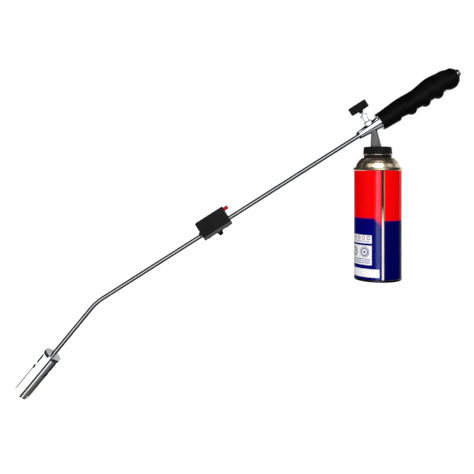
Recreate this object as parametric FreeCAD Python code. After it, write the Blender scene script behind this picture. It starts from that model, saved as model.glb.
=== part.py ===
"""Long-lance gas torch with a piezo igniter, a needle valve, a hand grip and a bayonet cartridge.

Part frame: X along the tool towards the grip end, Z up, Y across. The origin is the centre of the
grip. The lance, the valve and the grip share one tilted axis. Their pieces are drawn lying along
X and are then tilted about Y. The burner pieces are drawn along X from the bend and then turned.
"""
import FreeCAD
import Part
import math
import os

V = FreeCAD.Vector
ORIGIN = V(0, 0, 0)
ALONG = V(1, 0, 0)
ACROSS = V(0, 1, 0)
UP = V(0, 0, 1)

# Pose of the tool
LANCE_TILT = 32.4
BEND_ANGLE = 18.2
BEND_RADIUS = 70.0

# Lance: stations are distances along the tilted axis, negative towards the burner
LANCE_R = 3.5
LANCE_BORE_R = 2.9
LANCE_START = -88.0
BEND_STATION = -536.0
PIPE_R = 1.4
PIPE_BORE_R = 0.9
PIPE_Y = -1.3
LEAD_R = 1.0
LEAD_Y = 1.7
LEAD_BEND_R = 3.0

# Burner: distances from the bend towards the mouth
COLLAR_START = 95.5
COLLAR_LENGTH = 4.4
COLLAR_R = 13.2
COLLAR_BACK = 1.5
BURNER_R = 12.3
BURNER_WALL = 0.8
BURNER_LENGTH = 71.3
AIR_SLOT_START = 5.5
AIR_SLOT_LENGTH = 15.3
AIR_SLOT_WIDTH = 5.4
KEYHOLE_CENTRE = 26.8
KEYHOLE_R = 3.4
SLIT_WIDTH = 2.8
SLOT_SETS = 3
FIRST_SLOT_ANGLE = 30.0
FLAME_HOLDER_START = 37.0
LANCE_END = COLLAR_START + 8.3
JET_HOLDER_R = 6.5
JET_TIP_R = 1.7
JET_HOLDER_END = LANCE_END + 5.0

# Igniter box
BOX_START = -358.6
BOX_END = -313.9
BOX_TOP = 19.0
BOX_BOTTOM = -4.1
BOX_HALF_WIDTH = 12.0
BOX_WALL = 1.6
BOX_ROOF = 1.2
CHANNEL_TOP = 5.6
SADDLE_THICKNESS = 4.6
COVER_SCREW_N = 1.5
SCREW_INSET = 7.0
SADDLE_SCREW_Y = -8.0
BUTTON_R = 2.7
BUTTON_N = 14.4
BUTTON_OUT = 7.0
BUTTON_BACK = 6.6
CASE_START = -355.5
CASE_END = -330.0
STRIKER_R = 2.1
CLAMP_STATION = -335.0
CLAMP_SCREW_R = 2.0
CLAMP_SCREW_REACH = 8.5
CLAMP_KNOB_R = 4.4

# Valve
BODY_FRONT = -95.0
BODY_REAR = -63.0
BODY_FRONT_R = 5.8
BODY_REAR_R = 8.9
VALVE_STATION = -76.0
BONNET_R = 3.9
PACKING_R = 2.9
BONNET_TOP = 18.0
NUT_TOP = 22.0
SPINDLE_R = 1.7
RUNNING_FIT = 0.08
KNOB_R = 13.8
KNOB_BOTTOM = 27.9
KNOB_TOP = 39.3
KNOB_RIBS = 30

# Grip
GRIP_FRONT = -61.7
GRIP_REAR = 65.2
GRIP_ROUNDING = 5.2
CORE_R = 8.0
CORE_BORE_R = 6.5
STUD_R = 3.0
WASHER_THICKNESS = 1.6
NUT_THICKNESS = 3.8

# Gas inlet
ARM_BOTTOM = -67.7
ARM_BOTTOM_R = 7.7
ARM_BOTTOM_X = -57.3
ARM_TOP = -42.0
ARM_TOP_R = 3.9
ARM_TOP_X = -60.2
CAP_R = 20.2
CAP_TOP_R = 19.4
CAP_BOTTOM = -77.9
CAP_CAVITY_R = 17.5
CAP_ROOF = -71.0
CLAW_COUNT = 3

# Cartridge
CAN_X = -55.0
CAN_R = 33.0
CAN_WALL = 0.5
CAN_BASE = -254.4
BASE_SEAM = 3.8
CAN_SHOULDER = -101.2
SEAM_TOP = -96.9
SEAM_R = 34.0
DOME_TOP = -83.8
DOME_TOP_R = 22.0
FLANGE_TOP = -78.6
FLANGE_R = 21.15
FLANGE_BORE_R = 12.0
NECK_R = 17.6
COLLAR_RING_R = 19.2
CUP_FLOOR = -85.4
PEDESTAL_R = 5.8
PEDESTAL_TOP = -79.4
STEM_R = 1.9
HOUSING_BOTTOM = -97.0


# Helpers

def rod(radius, start, end):
    """Solid cylinder between two points."""
    span = end - start
    return Part.makeCylinder(radius, span.Length, start, span)


def sleeve(outer, inner, start, end):
    """Tube between two points."""
    return rod(outer, start, end).cut(rod(inner, start, end))


def rod_x(radius, start, end, y=0.0, z=0.0):
    return rod(radius, V(start, y, z), V(end, y, z))


def sleeve_x(outer, inner, start, end):
    return rod_x(outer, start, end).cut(rod_x(inner, start, end))


def rod_z(radius, low, high, x=0.0, y=0.0):
    return rod(radius, V(x, y, low), V(x, y, high))


def sleeve_z(outer, inner, low, high, x=0.0, y=0.0):
    return rod_z(outer, low, high, x, y).cut(rod_z(inner, low, high, x, y))


def block(x_range, y_range, z_range):
    corner = V(x_range[0], y_range[0], z_range[0])
    size = [high - low for low, high in (x_range, y_range, z_range)]
    return Part.makeBox(size[0], size[1], size[2], corner)


def turned(profile, axis_x=0.0):
    """Solid of revolution about the vertical line at axis_x, from (radius, height) points."""
    points = [V(axis_x + radius, 0, height) for radius, height in profile]
    face = Part.Face(Part.makePolygon(points + [points[0]]))
    return face.revolve(V(axis_x, 0, 0), UP, 360)


def hexagon(across_flats, low, high, x=0.0):
    """Vertical hexagonal prism."""
    radius = across_flats / math.sqrt(3)
    corners = [V(x + radius * math.cos(math.radians(60 * i)),
                 radius * math.sin(math.radians(60 * i)), low) for i in range(7)]
    return Part.Face(Part.makePolygon(corners)).extrude(V(0, 0, high - low))


def coil(radius, wire, turns, start, end):
    """Round-wire compression spring between two points."""
    span = end - start
    height = span.Length - 2 * wire
    path = Part.makeHelix(height / turns, height, radius)
    section = Part.Wire(Part.makeCircle(wire, V(radius, 0, 0), ACROSS))
    spring = Part.Wire(path).makePipeShell([section], True, True)
    spring.translate(V(0, 0, wire))
    spring.Placement = FreeCAD.Placement(start, FreeCAD.Rotation(UP, span)).multiply(spring.Placement)
    return spring


def spin(shape, angle, axis=UP, centre=ORIGIN):
    turned_copy = shape.copy()
    turned_copy.rotate(centre, axis, angle)
    return turned_copy


def on_lance(shape):
    """Tilt a piece drawn along X onto the axis of the lance and grip."""
    return spin(shape, -LANCE_TILT, ACROSS)


def on_burner(shape):
    """Put a piece drawn along X, from the bend outwards, onto the lower leg of the lance."""
    placed = spin(shape, 180 - LANCE_TILT - BEND_ANGLE, ACROSS)
    tilt = math.radians(LANCE_TILT)
    placed.translate(V(BEND_STATION * math.cos(tilt), 0, BEND_STATION * math.sin(tilt)))
    return placed


def save(name, shape):
    shape.exportStep("parts/" + name + ".step")


def bent_path(y, start, burner_end, lead_in=None):
    """Centre line down the lance, round the bend and into the burner, offset by y.

    burner_end is the distance from the bend. lead_in is the height at which the line starts above
    the axis, from where it drops and turns into the lance.
    """
    bend = math.radians(BEND_ANGLE)
    tangent = BEND_RADIUS * math.tan(bend / 2)
    entry = V(BEND_STATION + tangent, y, 0)
    centre = V(BEND_STATION + tangent, y, -BEND_RADIUS)
    middle = centre + V(-math.sin(bend / 2), 0, math.cos(bend / 2)) * BEND_RADIUS
    leave = centre + V(-math.sin(bend), 0, math.cos(bend)) * BEND_RADIUS
    heading = V(-math.cos(bend), 0, -math.sin(bend))
    end = leave + heading * (burner_end - tangent)
    first = V(start, y, 0)
    edges = [Part.LineSegment(first, entry), Part.Arc(entry, middle, leave), Part.LineSegment(leave, end)]
    if lead_in is not None:
        corner = V(start + LEAD_BEND_R, y, LEAD_BEND_R)
        half = LEAD_BEND_R * (1 - math.sqrt(0.5))
        drop = Part.LineSegment(V(corner.x, y, lead_in), corner)
        edges = [drop, Part.Arc(corner, V(corner.x - half, y, half), first)] + edges
    return Part.Wire([edge.toShape() for edge in edges])


def swept(path, radius):
    """Solid round bar along a path."""
    first = path.OrderedEdges[0]
    start = first.valueAt(first.FirstParameter)
    towards = first.tangentAt(first.FirstParameter)
    section = Part.Wire(Part.makeCircle(radius, start, towards))
    return path.makePipeShell([section], True, False)


# Lance and burner

def lance_tube():
    """Chromed tube from the valve to the burner, with a hole for the lead inside the igniter box."""
    outer = swept(bent_path(0, LANCE_START, LANCE_END), LANCE_R)
    bore = swept(bent_path(0, LANCE_START, LANCE_END), LANCE_BORE_R)
    lead_hole = rod_z(LEAD_R + 0.3, 0, LANCE_R + 1, CASE_START + 5, LEAD_Y)
    return on_lance(outer.cut(bore).cut(lead_hole))


def gas_pipe():
    """Thin copper pipe that carries the gas inside the lance."""
    path = bent_path(PIPE_Y, LANCE_START, LANCE_END)
    return on_lance(swept(path, PIPE_R).cut(swept(path, PIPE_BORE_R)))


def ignition_lead():
    """High-voltage lead from under the piezo case, down inside the lance to the electrode."""
    start = CASE_START + 5 - LEAD_BEND_R
    return on_lance(swept(bent_path(LEAD_Y, start, LANCE_END - 2, CHANNEL_TOP + 1.4), LEAD_R))


def burner_collar():
    """Turned cup that joins the lance to the flame tube."""
    end = COLLAR_START + COLLAR_LENGTH
    cup = rod_x(COLLAR_R, COLLAR_START, end)
    cup = cup.makeChamfer(0.5, [edge for edge in cup.Edges if edge.Closed])
    socket = rod_x(BURNER_R, COLLAR_START + COLLAR_BACK, end + 1)
    return on_burner(cup.cut(socket).cut(rod_x(LANCE_R, COLLAR_START - 1, end)))


def slot(start, end, width):
    """Radial cutter for a slot with round ends, pointing up from the burner's axis."""
    radius = width / 2
    middle = block((start + radius, end - radius), (-radius, radius), (0, COLLAR_R))
    ends = [rod_z(radius, 0, COLLAR_R, x) for x in (start + radius, end - radius)]
    return middle.fuse(ends)


def burner_tube():
    """Flame tube with sets of an air slot, a round hole and a slit that runs to the mouth."""
    start = COLLAR_START + COLLAR_BACK
    mouth = COLLAR_START + BURNER_LENGTH
    tube = sleeve_x(BURNER_R, BURNER_R - BURNER_WALL, start, mouth)
    first = COLLAR_START + AIR_SLOT_START
    keyhole = COLLAR_START + KEYHOLE_CENTRE
    cutters = [slot(first, first + AIR_SLOT_LENGTH, AIR_SLOT_WIDTH),
               rod_z(KEYHOLE_R, 0, COLLAR_R, keyhole),
               slot(keyhole, mouth + SLIT_WIDTH, SLIT_WIDTH)]
    for i in range(SLOT_SETS):
        angle = FIRST_SLOT_ANGLE + 360 / SLOT_SETS * i
        for cutter in cutters:
            tube = tube.cut(spin(cutter, angle, ALONG))
    return on_burner(tube)


def jet_holder():
    """Brass block on the lance's end that carries the jet and the electrode insulator."""
    start = COLLAR_START + COLLAR_BACK
    holder = rod_x(JET_HOLDER_R, start, JET_HOLDER_END)
    holder = holder.cut(rod_x(LANCE_R, start - 1, LANCE_END))
    holder = holder.cut(rod_x(PIPE_R, LANCE_END - 1, JET_HOLDER_END + 1, PIPE_Y))
    return on_burner(holder.cut(rod_x(1.2, LANCE_END - 1, JET_HOLDER_END + 1, LEAD_Y)))


def gas_jet():
    jet = rod_x(PIPE_R, LANCE_END, JET_HOLDER_END, PIPE_Y)
    jet = jet.fuse(rod_x(JET_TIP_R, JET_HOLDER_END, JET_HOLDER_END + 4, PIPE_Y))
    return on_burner(jet.cut(rod_x(0.3, LANCE_END - 1, JET_HOLDER_END + 5, PIPE_Y)))


def electrode_insulator():
    ceramic = rod_x(1.2, LANCE_END, LANCE_END + 22, LEAD_Y)
    return on_burner(ceramic.cut(rod_x(0.4, LANCE_END - 1, LANCE_END + 23, LEAD_Y)))


def electrode_rod():
    """Wire electrode, bent outwards at its tip to spark against the flame tube."""
    tip = LANCE_END + 25
    straight = rod_x(0.4, LANCE_END - 2, tip, LEAD_Y)
    bent = rod(0.4, V(tip, LEAD_Y, 0), V(tip, LEAD_Y + 6, 0))
    knuckle = Part.makeSphere(0.4, V(tip, LEAD_Y, 0))
    return on_burner(straight.fuse([bent, knuckle]))


def flame_holder():
    """Perforated disc across the flame tube that steadies the flame."""
    start = COLLAR_START + FLAME_HOLDER_START
    disc = rod_x(BURNER_R - BURNER_WALL, start, start + 1.2)
    holes = []
    for count, distance in ((12, 8.2), (6, 4.6)):
        hole = rod_x(1.1, start - 1, start + 3, 0, distance)
        holes += [spin(hole, 360 / count * (i + 0.5), ALONG) for i in range(count)]
    return on_burner(disc.cut(holes))


# Igniter box: drawn along X with its lance at the axis

def box_shell():
    """Moulded box with a channel for the lance and a cavity for the piezo unit, open at the back."""
    shell = block((BOX_START, BOX_END), (-BOX_HALF_WIDTH, BOX_HALF_WIDTH - BOX_WALL), (BOX_BOTTOM, BOX_TOP))
    long_edges = [edge for edge in shell.Edges
                  if edge.CenterOfMass.y < -BOX_HALF_WIDTH + 0.1 or
                  (edge.CenterOfMass.z > BOX_TOP - 0.1 and abs(edge.CenterOfMass.y + BOX_WALL / 2) < 0.1)]
    shell = shell.makeFillet(0.7, long_edges)
    cavity = block((BOX_START + BOX_WALL, BOX_END - BOX_WALL),
                   (-BOX_HALF_WIDTH + BOX_WALL, BOX_HALF_WIDTH), (CHANNEL_TOP, BOX_TOP - BOX_ROOF))
    channel = block((BOX_START - 1, BOX_END + 1), (-LANCE_R, LANCE_R), (BOX_BOTTOM - 1, 0))
    return shell.cut([cavity, channel, rod_x(LANCE_R, BOX_START - 1, BOX_END + 1)])


def screw_stations():
    return (BOX_START + SCREW_INSET, BOX_END - SCREW_INSET)


def igniter_housing():
    button_hole = rod_x(BUTTON_R + RUNNING_FIT, BOX_END - BOX_WALL - 1, BOX_END + 1, 0, BUTTON_N)
    lead_hole = rod_z(LEAD_R + 0.3, 0, CHANNEL_TOP + 1, CASE_START + 5, LEAD_Y)
    holes = [button_hole, lead_hole]
    for x in screw_stations():
        holes.append(rod(0.8, V(x, 5.5, COVER_SCREW_N), V(x, BOX_HALF_WIDTH, COVER_SCREW_N)))
        holes.append(rod_z(0.8, BOX_BOTTOM - 1, 2.0, x, SADDLE_SCREW_Y))
    return on_lance(box_shell().cut(holes))


def igniter_cover():
    """Back plate of the igniter box."""
    plate = block((BOX_START, BOX_END), (BOX_HALF_WIDTH - BOX_WALL, BOX_HALF_WIDTH), (BOX_BOTTOM, BOX_TOP))
    rim = [edge for edge in plate.Edges if edge.CenterOfMass.y > BOX_HALF_WIDTH - 0.1]
    plate = plate.makeFillet(0.8, rim)
    holes = [rod(1.0, V(x, 5.5, COVER_SCREW_N), V(x, BOX_HALF_WIDTH + 1, COVER_SCREW_N))
             for x in screw_stations()]
    return on_lance(plate.cut(holes))


def cross_slot(depth, reach, axis_start, axis_end):
    """Cutter for a cross recess that sinks from axis_start towards axis_end."""
    middle = axis_start + (axis_end - axis_start).normalize() * depth / 2
    bars = [block((-reach, reach), (-0.3, 0.3), (-depth / 2, depth / 2)),
            block((-0.3, 0.3), (-reach, reach), (-depth / 2, depth / 2))]
    cutter = bars[0].fuse(bars[1])
    cutter.Placement = FreeCAD.Placement(middle, FreeCAD.Rotation(UP, axis_end - axis_start))
    return cutter


def small_screw(head, tip, head_radius=1.8, head_height=0.9, shank_radius=0.8):
    """Pan-head screw; head is the centre of the head's underside."""
    out = (head - tip).normalize()
    crown = head + out * head_height
    screw = rod(shank_radius, tip, head).fuse(rod(head_radius, head, crown))
    return screw.cut(cross_slot(head_height * 0.7, head_radius * 0.65, crown, head))


def cover_screws():
    screws = [small_screw(V(x, BOX_HALF_WIDTH, COVER_SCREW_N), V(x, 5.5, COVER_SCREW_N))
              for x in screw_stations()]
    return on_lance(Part.makeCompound(screws))


def clamp_saddle():
    """Bar that closes the lance channel and carries the clamp screw."""
    low = BOX_BOTTOM - SADDLE_THICKNESS
    bar = block((BOX_START, BOX_END), (-BOX_HALF_WIDTH, BOX_HALF_WIDTH), (low, BOX_BOTTOM))
    long_edges = [edge for edge in bar.Edges
                  if edge.CenterOfMass.z < low + 0.1 and abs(edge.CenterOfMass.y) > BOX_HALF_WIDTH - 0.1]
    bar = bar.makeChamfer(1.6, long_edges)
    holes = [rod_z(CLAMP_SCREW_R + RUNNING_FIT, low - 1, BOX_BOTTOM + 1, CLAMP_STATION)]
    holes += [rod_z(1.0, low - 1, BOX_BOTTOM + 1, x, SADDLE_SCREW_Y) for x in screw_stations()]
    return on_lance(bar.cut(holes))


def saddle_screws():
    low = BOX_BOTTOM - SADDLE_THICKNESS
    screws = [small_screw(V(x, SADDLE_SCREW_Y, low), V(x, SADDLE_SCREW_Y, 2)) for x in screw_stations()]
    return on_lance(Part.makeCompound(screws))


def clamp_screw():
    """Threaded pin that presses on the lance from below."""
    return on_lance(rod_z(CLAMP_SCREW_R, BOX_BOTTOM - CLAMP_SCREW_REACH, -LANCE_R - 0.3, CLAMP_STATION))


def clamp_knob():
    """Small knurled finger knob of blackened steel, pressed on the end of the clamp screw."""
    top = BOX_BOTTOM - SADDLE_THICKNESS - 0.3
    screw_end = BOX_BOTTOM - CLAMP_SCREW_REACH
    outside = [(CLAMP_SCREW_R, top), (CLAMP_KNOB_R, top), (CLAMP_KNOB_R, top - 1.6), (3.4, top - 2.4),
               (3.1, top - 5.0), (2.5, top - 5.5), (0, top - 5.5)]
    knob = turned(outside + [(0, screw_end), (CLAMP_SCREW_R, screw_end)], CLAMP_STATION)
    for i in range(12):
        groove = rod_z(0.3, top - 2, top + 1, CLAMP_STATION + CLAMP_KNOB_R + 0.1)
        knob = knob.cut(spin(groove, 30 * i, UP, V(CLAMP_STATION, 0, 0)))
    return on_lance(knob)


def lead_bush():
    """Rubber bush that seals the lance where it enters the box."""
    ring = sleeve_x(5.3, LANCE_R, BOX_START - 3.2, BOX_START)
    return on_lance(ring.common(block((BOX_START - 5, BOX_START), (-6, 6), (0, 6))))


def piezo_case():
    case = block((CASE_START, CASE_END), (-5, 5), (8, BOX_TOP - BOX_ROOF - 0.3))
    case = case.cut(rod_x(STRIKER_R, CASE_START + 2, CASE_END + 1, 0, BUTTON_N))
    return on_lance(case.cut(rod_z(0.6, 7, BUTTON_N, CASE_START + 5, LEAD_Y)))


def piezo_crystal():
    return on_lance(rod_x(STRIKER_R, CASE_START + 2, CASE_START + 8.5, 0, BUTTON_N))


def contact_pin():
    """Brass pin that takes the charge from the crystal to the lead."""
    pin = rod_z(0.6, CHANNEL_TOP + 1.4, BUTTON_N, CASE_START + 5, LEAD_Y)
    return on_lance(pin.cut(rod_x(STRIKER_R, CASE_START + 2, CASE_START + 8.5, 0, BUTTON_N)))


def piezo_hammer():
    return on_lance(rod_x(STRIKER_R - 0.05, CASE_START + 8.7, CASE_START + 13, 0, BUTTON_N))


def hammer_spring():
    centre_line = [V(x, 0, BUTTON_N) for x in (CASE_START + 13.1, CASE_START + 21.2)]
    return on_lance(coil(1.5, 0.25, 6, *centre_line))


def igniter_button():
    """Push button with a retaining collar and a stem that reaches the hammer."""
    face = BOX_END + BUTTON_OUT
    stop = BOX_END - BOX_WALL - 0.4
    cap = rod_x(BUTTON_R, BOX_END - BUTTON_BACK, face, 0, BUTTON_N)
    front_edge = [edge for edge in cap.Edges if edge.CenterOfMass.x > face - 0.1 and edge.Closed]
    cap = cap.makeFillet(0.7, front_edge)
    collar = rod_x(BUTTON_R + 0.4, stop - 1.4, stop, 0, BUTTON_N)
    stem = rod_x(1.6, CASE_START + 21.5, BOX_END - BUTTON_BACK, 0, BUTTON_N)
    return on_lance(cap.fuse([collar, stem]))


def button_spring():
    centre_line = [V(x, 0, BUTTON_N) for x in (CASE_END + 0.1, BOX_END - BUTTON_BACK - 0.1)]
    return on_lance(coil(2.25, 0.3, 6, *centre_line))


# Control valve

def front_ring():
    ring = rod_x(5.4, BODY_FRONT - 3.8, BODY_FRONT)
    front_edge = [edge for edge in ring.Edges if edge.Closed and edge.CenterOfMass.x < BODY_FRONT - 3]
    ring = ring.makeFillet(0.8, front_edge)
    return on_lance(ring.cut(rod_x(LANCE_R, BODY_FRONT - 5, BODY_FRONT + 1)))


def inlet_boss():
    """Round boss under the valve body, standing vertically in the part frame."""
    return rod_z(5.0, ARM_TOP - 4.0, ARM_TOP + 8.0, ARM_TOP_X)


def valve_body():
    """Conical body with a seat for the needle and a boss for the gas inlet."""
    cone = Part.makeCone(BODY_FRONT_R, BODY_REAR_R, BODY_REAR - BODY_FRONT, V(BODY_FRONT, 0, 0), ALONG)
    spigot = rod_x(CORE_BORE_R, BODY_REAR, BODY_REAR + 14)
    seat_boss = rod_z(6.0, 0, 9.0, VALVE_STATION)
    body = on_lance(cone.fuse([spigot, seat_boss])).fuse(inlet_boss())
    front_bore = rod_x(LANCE_R, BODY_FRONT - 1, LANCE_START)
    gas_way = rod_x(1.0, LANCE_START - 1, VALVE_STATION, PIPE_Y)
    bonnet_socket = rod_z(4.0, 3.0, 10.0, VALVE_STATION)
    seat = rod_z(1.2, -3.0, 4.0, VALVE_STATION)
    inlet_way = rod(1.0, V(VALVE_STATION, 0, -3.0), V(VALVE_STATION + 5.0, 0, -3.0))
    body = body.cut([on_lance(way) for way in (front_bore, gas_way, bonnet_socket, seat, inlet_way)])
    return body.cut(rod_z(1.5, ARM_TOP - 5, ARM_TOP + 3.5, ARM_TOP_X))


def bonnet():
    """Turned neck that guides the spindle."""
    bore = SPINDLE_R + RUNNING_FIT
    profile = [(bore, 3.0), (4.0, 3.0), (4.0, 9.0), (6.0, 9.0), (6.0, 10.0), (BONNET_R, 11.2),
               (BONNET_R, BONNET_TOP), (PACKING_R, BONNET_TOP),
               (PACKING_R, BONNET_TOP - 2.0), (bore, BONNET_TOP - 2.0)]
    return on_lance(turned(profile, VALVE_STATION))


def packing_ring():
    """Graphite ring that seals the spindle."""
    bore = SPINDLE_R + 0.02
    return on_lance(sleeve_z(PACKING_R, bore, BONNET_TOP - 2.0, BONNET_TOP, VALVE_STATION))


def gland_nut():
    nut = hexagon(9.6, BONNET_TOP, NUT_TOP, VALVE_STATION)
    crown = Part.makeCone(6.4, 4.9, NUT_TOP - BONNET_TOP, V(VALVE_STATION, 0, BONNET_TOP), UP)
    nut = nut.common(crown)
    return on_lance(nut.cut(rod_z(SPINDLE_R + RUNNING_FIT, BONNET_TOP - 1, NUT_TOP + 1, VALVE_STATION)))


def valve_spindle():
    """Needle spindle with thread grooves; its tip closes the seat."""
    top = KNOB_TOP - 3.6
    profile = [(0, 0.3), (0.5, 0.3), (1.1, 3.0), (SPINDLE_R, 3.8)]
    groove = 4.2
    while groove < 14.0:
        profile += [(SPINDLE_R, groove), (SPINDLE_R - 0.25, groove + 0.2), (SPINDLE_R, groove + 0.4)]
        groove += 0.75
    profile += [(SPINDLE_R, top), (0, top)]
    spindle = turned(profile, VALVE_STATION)
    return on_lance(spindle.cut(rod_z(1.05, top - 6, top + 1, VALVE_STATION)))


def control_knob():
    """Ribbed hand knob with a neck, fixed on the spindle's end."""
    bore = SPINDLE_R + 0.02
    neck = KNOB_BOTTOM - 3.0
    profile = [(bore, neck), (2.9, neck), (3.2, KNOB_BOTTOM), (KNOB_R - 1.0, KNOB_BOTTOM),
               (KNOB_R, KNOB_BOTTOM + 1.0), (KNOB_R, KNOB_TOP - 1.0), (KNOB_R - 1.0, KNOB_TOP),
               (6.0, KNOB_TOP), (5.2, KNOB_TOP - 0.8), (3.6, KNOB_TOP - 0.8), (3.6, KNOB_TOP - 3.0),
               (bore, KNOB_TOP - 3.0)]
    knob = turned(profile, VALVE_STATION)
    centre = V(VALVE_STATION, 0, 0)
    groove = rod_z(0.75, KNOB_BOTTOM - 1, KNOB_TOP + 1, VALVE_STATION + KNOB_R + 0.35)
    grooves = [spin(groove, 360 / KNOB_RIBS * i, UP, centre) for i in range(KNOB_RIBS)]
    return on_lance(knob.cut(grooves))


def knob_screw():
    head = V(VALVE_STATION, 0, KNOB_TOP - 3.0)
    return on_lance(small_screw(head, head - V(0, 0, 5.5), 3.2, 1.8, 1.0))


# Grip

def grip_flange():
    flange = rod_x(12.0, BODY_REAR, GRIP_FRONT)
    flange = flange.makeFillet(0.4, [edge for edge in flange.Edges if edge.Closed])
    return on_lance(flange.cut(rod_x(CORE_BORE_R, BODY_REAR - 1, GRIP_FRONT + 1)))


def grip_core():
    return on_lance(sleeve_x(CORE_R, CORE_BORE_R, GRIP_FRONT, GRIP_REAR - GRIP_ROUNDING))


def end_plug():
    """Plug with the stud that the end nut runs on."""
    plug = rod_x(CORE_BORE_R, GRIP_REAR - 15, GRIP_REAR)
    return on_lance(plug.fuse(rod_x(STUD_R, GRIP_REAR, GRIP_REAR + WASHER_THICKNESS + NUT_THICKNESS + 0.4)))


def eased(points, station):
    """Height at a station, eased between neighbouring (station, height) points."""
    for (x0, z0), (x1, z1) in zip(points, points[1:]):
        if station <= x1:
            share = max(0.0, (station - x0) / (x1 - x0))
            return z0 + (z1 - z0) * (1 - math.cos(math.pi * share)) / 2
    return points[-1][1]


GRIP_BACK = [(GRIP_FRONT, 13.1), (-23, 15.2), (-3, 14.4), (26, 17.6), (46, 15.8), (60, 12.6),
             (GRIP_REAR, 11.8)]
GRIP_VALLEYS = [(GRIP_FRONT, 12.4), (-31, 11.4), (-20, 12.6), (14, 13.5), (34, 13.4), (43, 12.4),
                (GRIP_REAR, 13.0)]
FINGER_LOBES = [(-14.3, 7.6, 3.5), (8.0, 7.6, 3.7), (29.5, 7.8, 3.8), (52.5, 10.5, 3.2)]
HEEL_PEAK = -36.0
HEEL_END = -31.0
HEEL_HEIGHT = 2.3


def lobe(station):
    """Height of the finger lobes and of the heel ahead of them, above the line of the valleys."""
    if station < HEEL_PEAK:
        return HEEL_HEIGHT * (station - GRIP_FRONT) / (HEEL_PEAK - GRIP_FRONT)
    if station < HEEL_END:
        return HEEL_HEIGHT * (1 + math.cos(math.pi * (station - HEEL_PEAK) / (HEEL_END - HEEL_PEAK))) / 2
    total = 0.0
    for centre, reach, height in FINGER_LOBES:
        share = min(1.0, abs(station - centre) / reach)
        total += height * (1 - share ** 3) ** 2
    return total


def end_rounding(station):
    """How far the outline has drawn in at a station near the rounded end."""
    share = max(0.0, (station - GRIP_REAR + GRIP_ROUNDING) / GRIP_ROUNDING)
    return GRIP_ROUNDING * 0.85 * (1 - math.sqrt(max(0.0, 1 - share * share)))


def grip_section(station):
    drawn_in = end_rounding(station)
    top = eased(GRIP_BACK, station) - drawn_in
    bottom = -eased(GRIP_VALLEYS, station) - lobe(station) + drawn_in
    half_height = (top - bottom) / 2
    half_width = 11.9 + 0.35 * (half_height + drawn_in - 12.2) - drawn_in
    centre = V(station, 0, (top + bottom) / 2)
    major = centre + V(0, 0, half_height)
    ellipse = Part.Ellipse(major, centre + V(0, half_width, 0), centre)
    return Part.Wire(ellipse.toShape())


def grip():
    """Moulded hand grip with four finger lobes, sleeved over the core tube."""
    straight_count = 60
    round_count = 8
    straight = GRIP_REAR - GRIP_ROUNDING - GRIP_FRONT
    stations = [GRIP_FRONT + straight * i / straight_count for i in range(straight_count + 1)]
    rounded = []
    for i in range(round_count + 1):
        angle = math.radians(90) * i / round_count
        rounded.append(GRIP_REAR - GRIP_ROUNDING * (1 - math.sin(angle)))
    body = Part.makeLoft([grip_section(station) for station in stations], True, False)
    body = body.fuse(Part.makeLoft([grip_section(station) for station in rounded], True, True))
    core_hole = rod_x(CORE_R, GRIP_FRONT - 1, GRIP_REAR - GRIP_ROUNDING)
    return on_lance(body.cut(core_hole).cut(rod_x(CORE_BORE_R, GRIP_FRONT - 1, GRIP_REAR + 1)))


def end_washer():
    end = GRIP_REAR + WASHER_THICKNESS
    washer = rod_x(8.0, GRIP_REAR, end)
    outer_edge = [edge for edge in washer.Edges if edge.Closed and edge.CenterOfMass.x > end - 0.1]
    washer = washer.makeFillet(0.6, outer_edge)
    return on_lance(washer.cut(rod_x(STUD_R, GRIP_REAR - 1, end + 1)))


def end_nut():
    """Hexagonal nut on the stud."""
    start = GRIP_REAR + WASHER_THICKNESS
    nut = spin(hexagon(9.6, 0, NUT_THICKNESS), 90, ACROSS)
    nut.translate(V(start, 0, 0))
    crown = Part.makeCone(6.2, 4.7, NUT_THICKNESS, V(start, 0, 0), ALONG)
    return on_lance(nut.common(crown).cut(rod_x(STUD_R, start - 1, start + 6)))


# Gas inlet: upright, in the part frame

def arm_section(height):
    share = (height - ARM_BOTTOM) / (ARM_TOP - ARM_BOTTOM)
    radius = ARM_BOTTOM_R + (ARM_TOP_R - ARM_BOTTOM_R) * share
    x = ARM_BOTTOM_X + (ARM_TOP_X - ARM_BOTTOM_X) * share
    return Part.Wire(Part.makeCircle(radius, V(x, 0, height), UP))


def inlet_arm():
    """Tapered arm between the valve body and the bayonet cap, with a gas way down its middle."""
    arm = Part.makeLoft([arm_section(ARM_BOTTOM), arm_section(ARM_TOP)], True, True)
    gas_way = rod(1.2, V(ARM_TOP_X, 0, ARM_TOP + 1), V(CAN_X, 0, ARM_BOTTOM - 1))
    return arm.cut(gas_way).cut(valve_body())


def lock_cap():
    """Bayonet cap, hollow below."""
    cap = Part.makeCone(CAP_R, CAP_TOP_R, ARM_BOTTOM - CAP_BOTTOM, V(CAN_X, 0, CAP_BOTTOM), UP)
    rim = [edge for edge in cap.Edges if edge.Closed and edge.CenterOfMass.z > ARM_BOTTOM - 1]
    cap = cap.makeFillet(2.2, rim)
    cavity = rod_z(CAP_CAVITY_R, CAP_BOTTOM - 1, CAP_ROOF, CAN_X)
    bore = rod_z(3.0, CAP_ROOF - 1, ARM_BOTTOM + 1, CAN_X)
    screw_hole = rod_z(0.8, CAP_ROOF - 1, CAP_ROOF + 2.4, CAN_X + 14.5)
    holes = [spin(screw_hole, 120 * i + 60, UP, V(CAN_X, 0, 0)) for i in range(CLAW_COUNT)]
    return cap.cut([cavity, bore] + holes)


def sector(outer, inner, low, high, angle, width):
    """Ring segment round the cartridge axis, centred on an angle."""
    ring = Part.makeCylinder(outer, high - low, V(CAN_X, 0, low), UP, width)
    ring = ring.cut(rod_z(inner, low - 1, high + 1, CAN_X))
    return spin(ring, angle - width / 2, UP, V(CAN_X, 0, 0))


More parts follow.
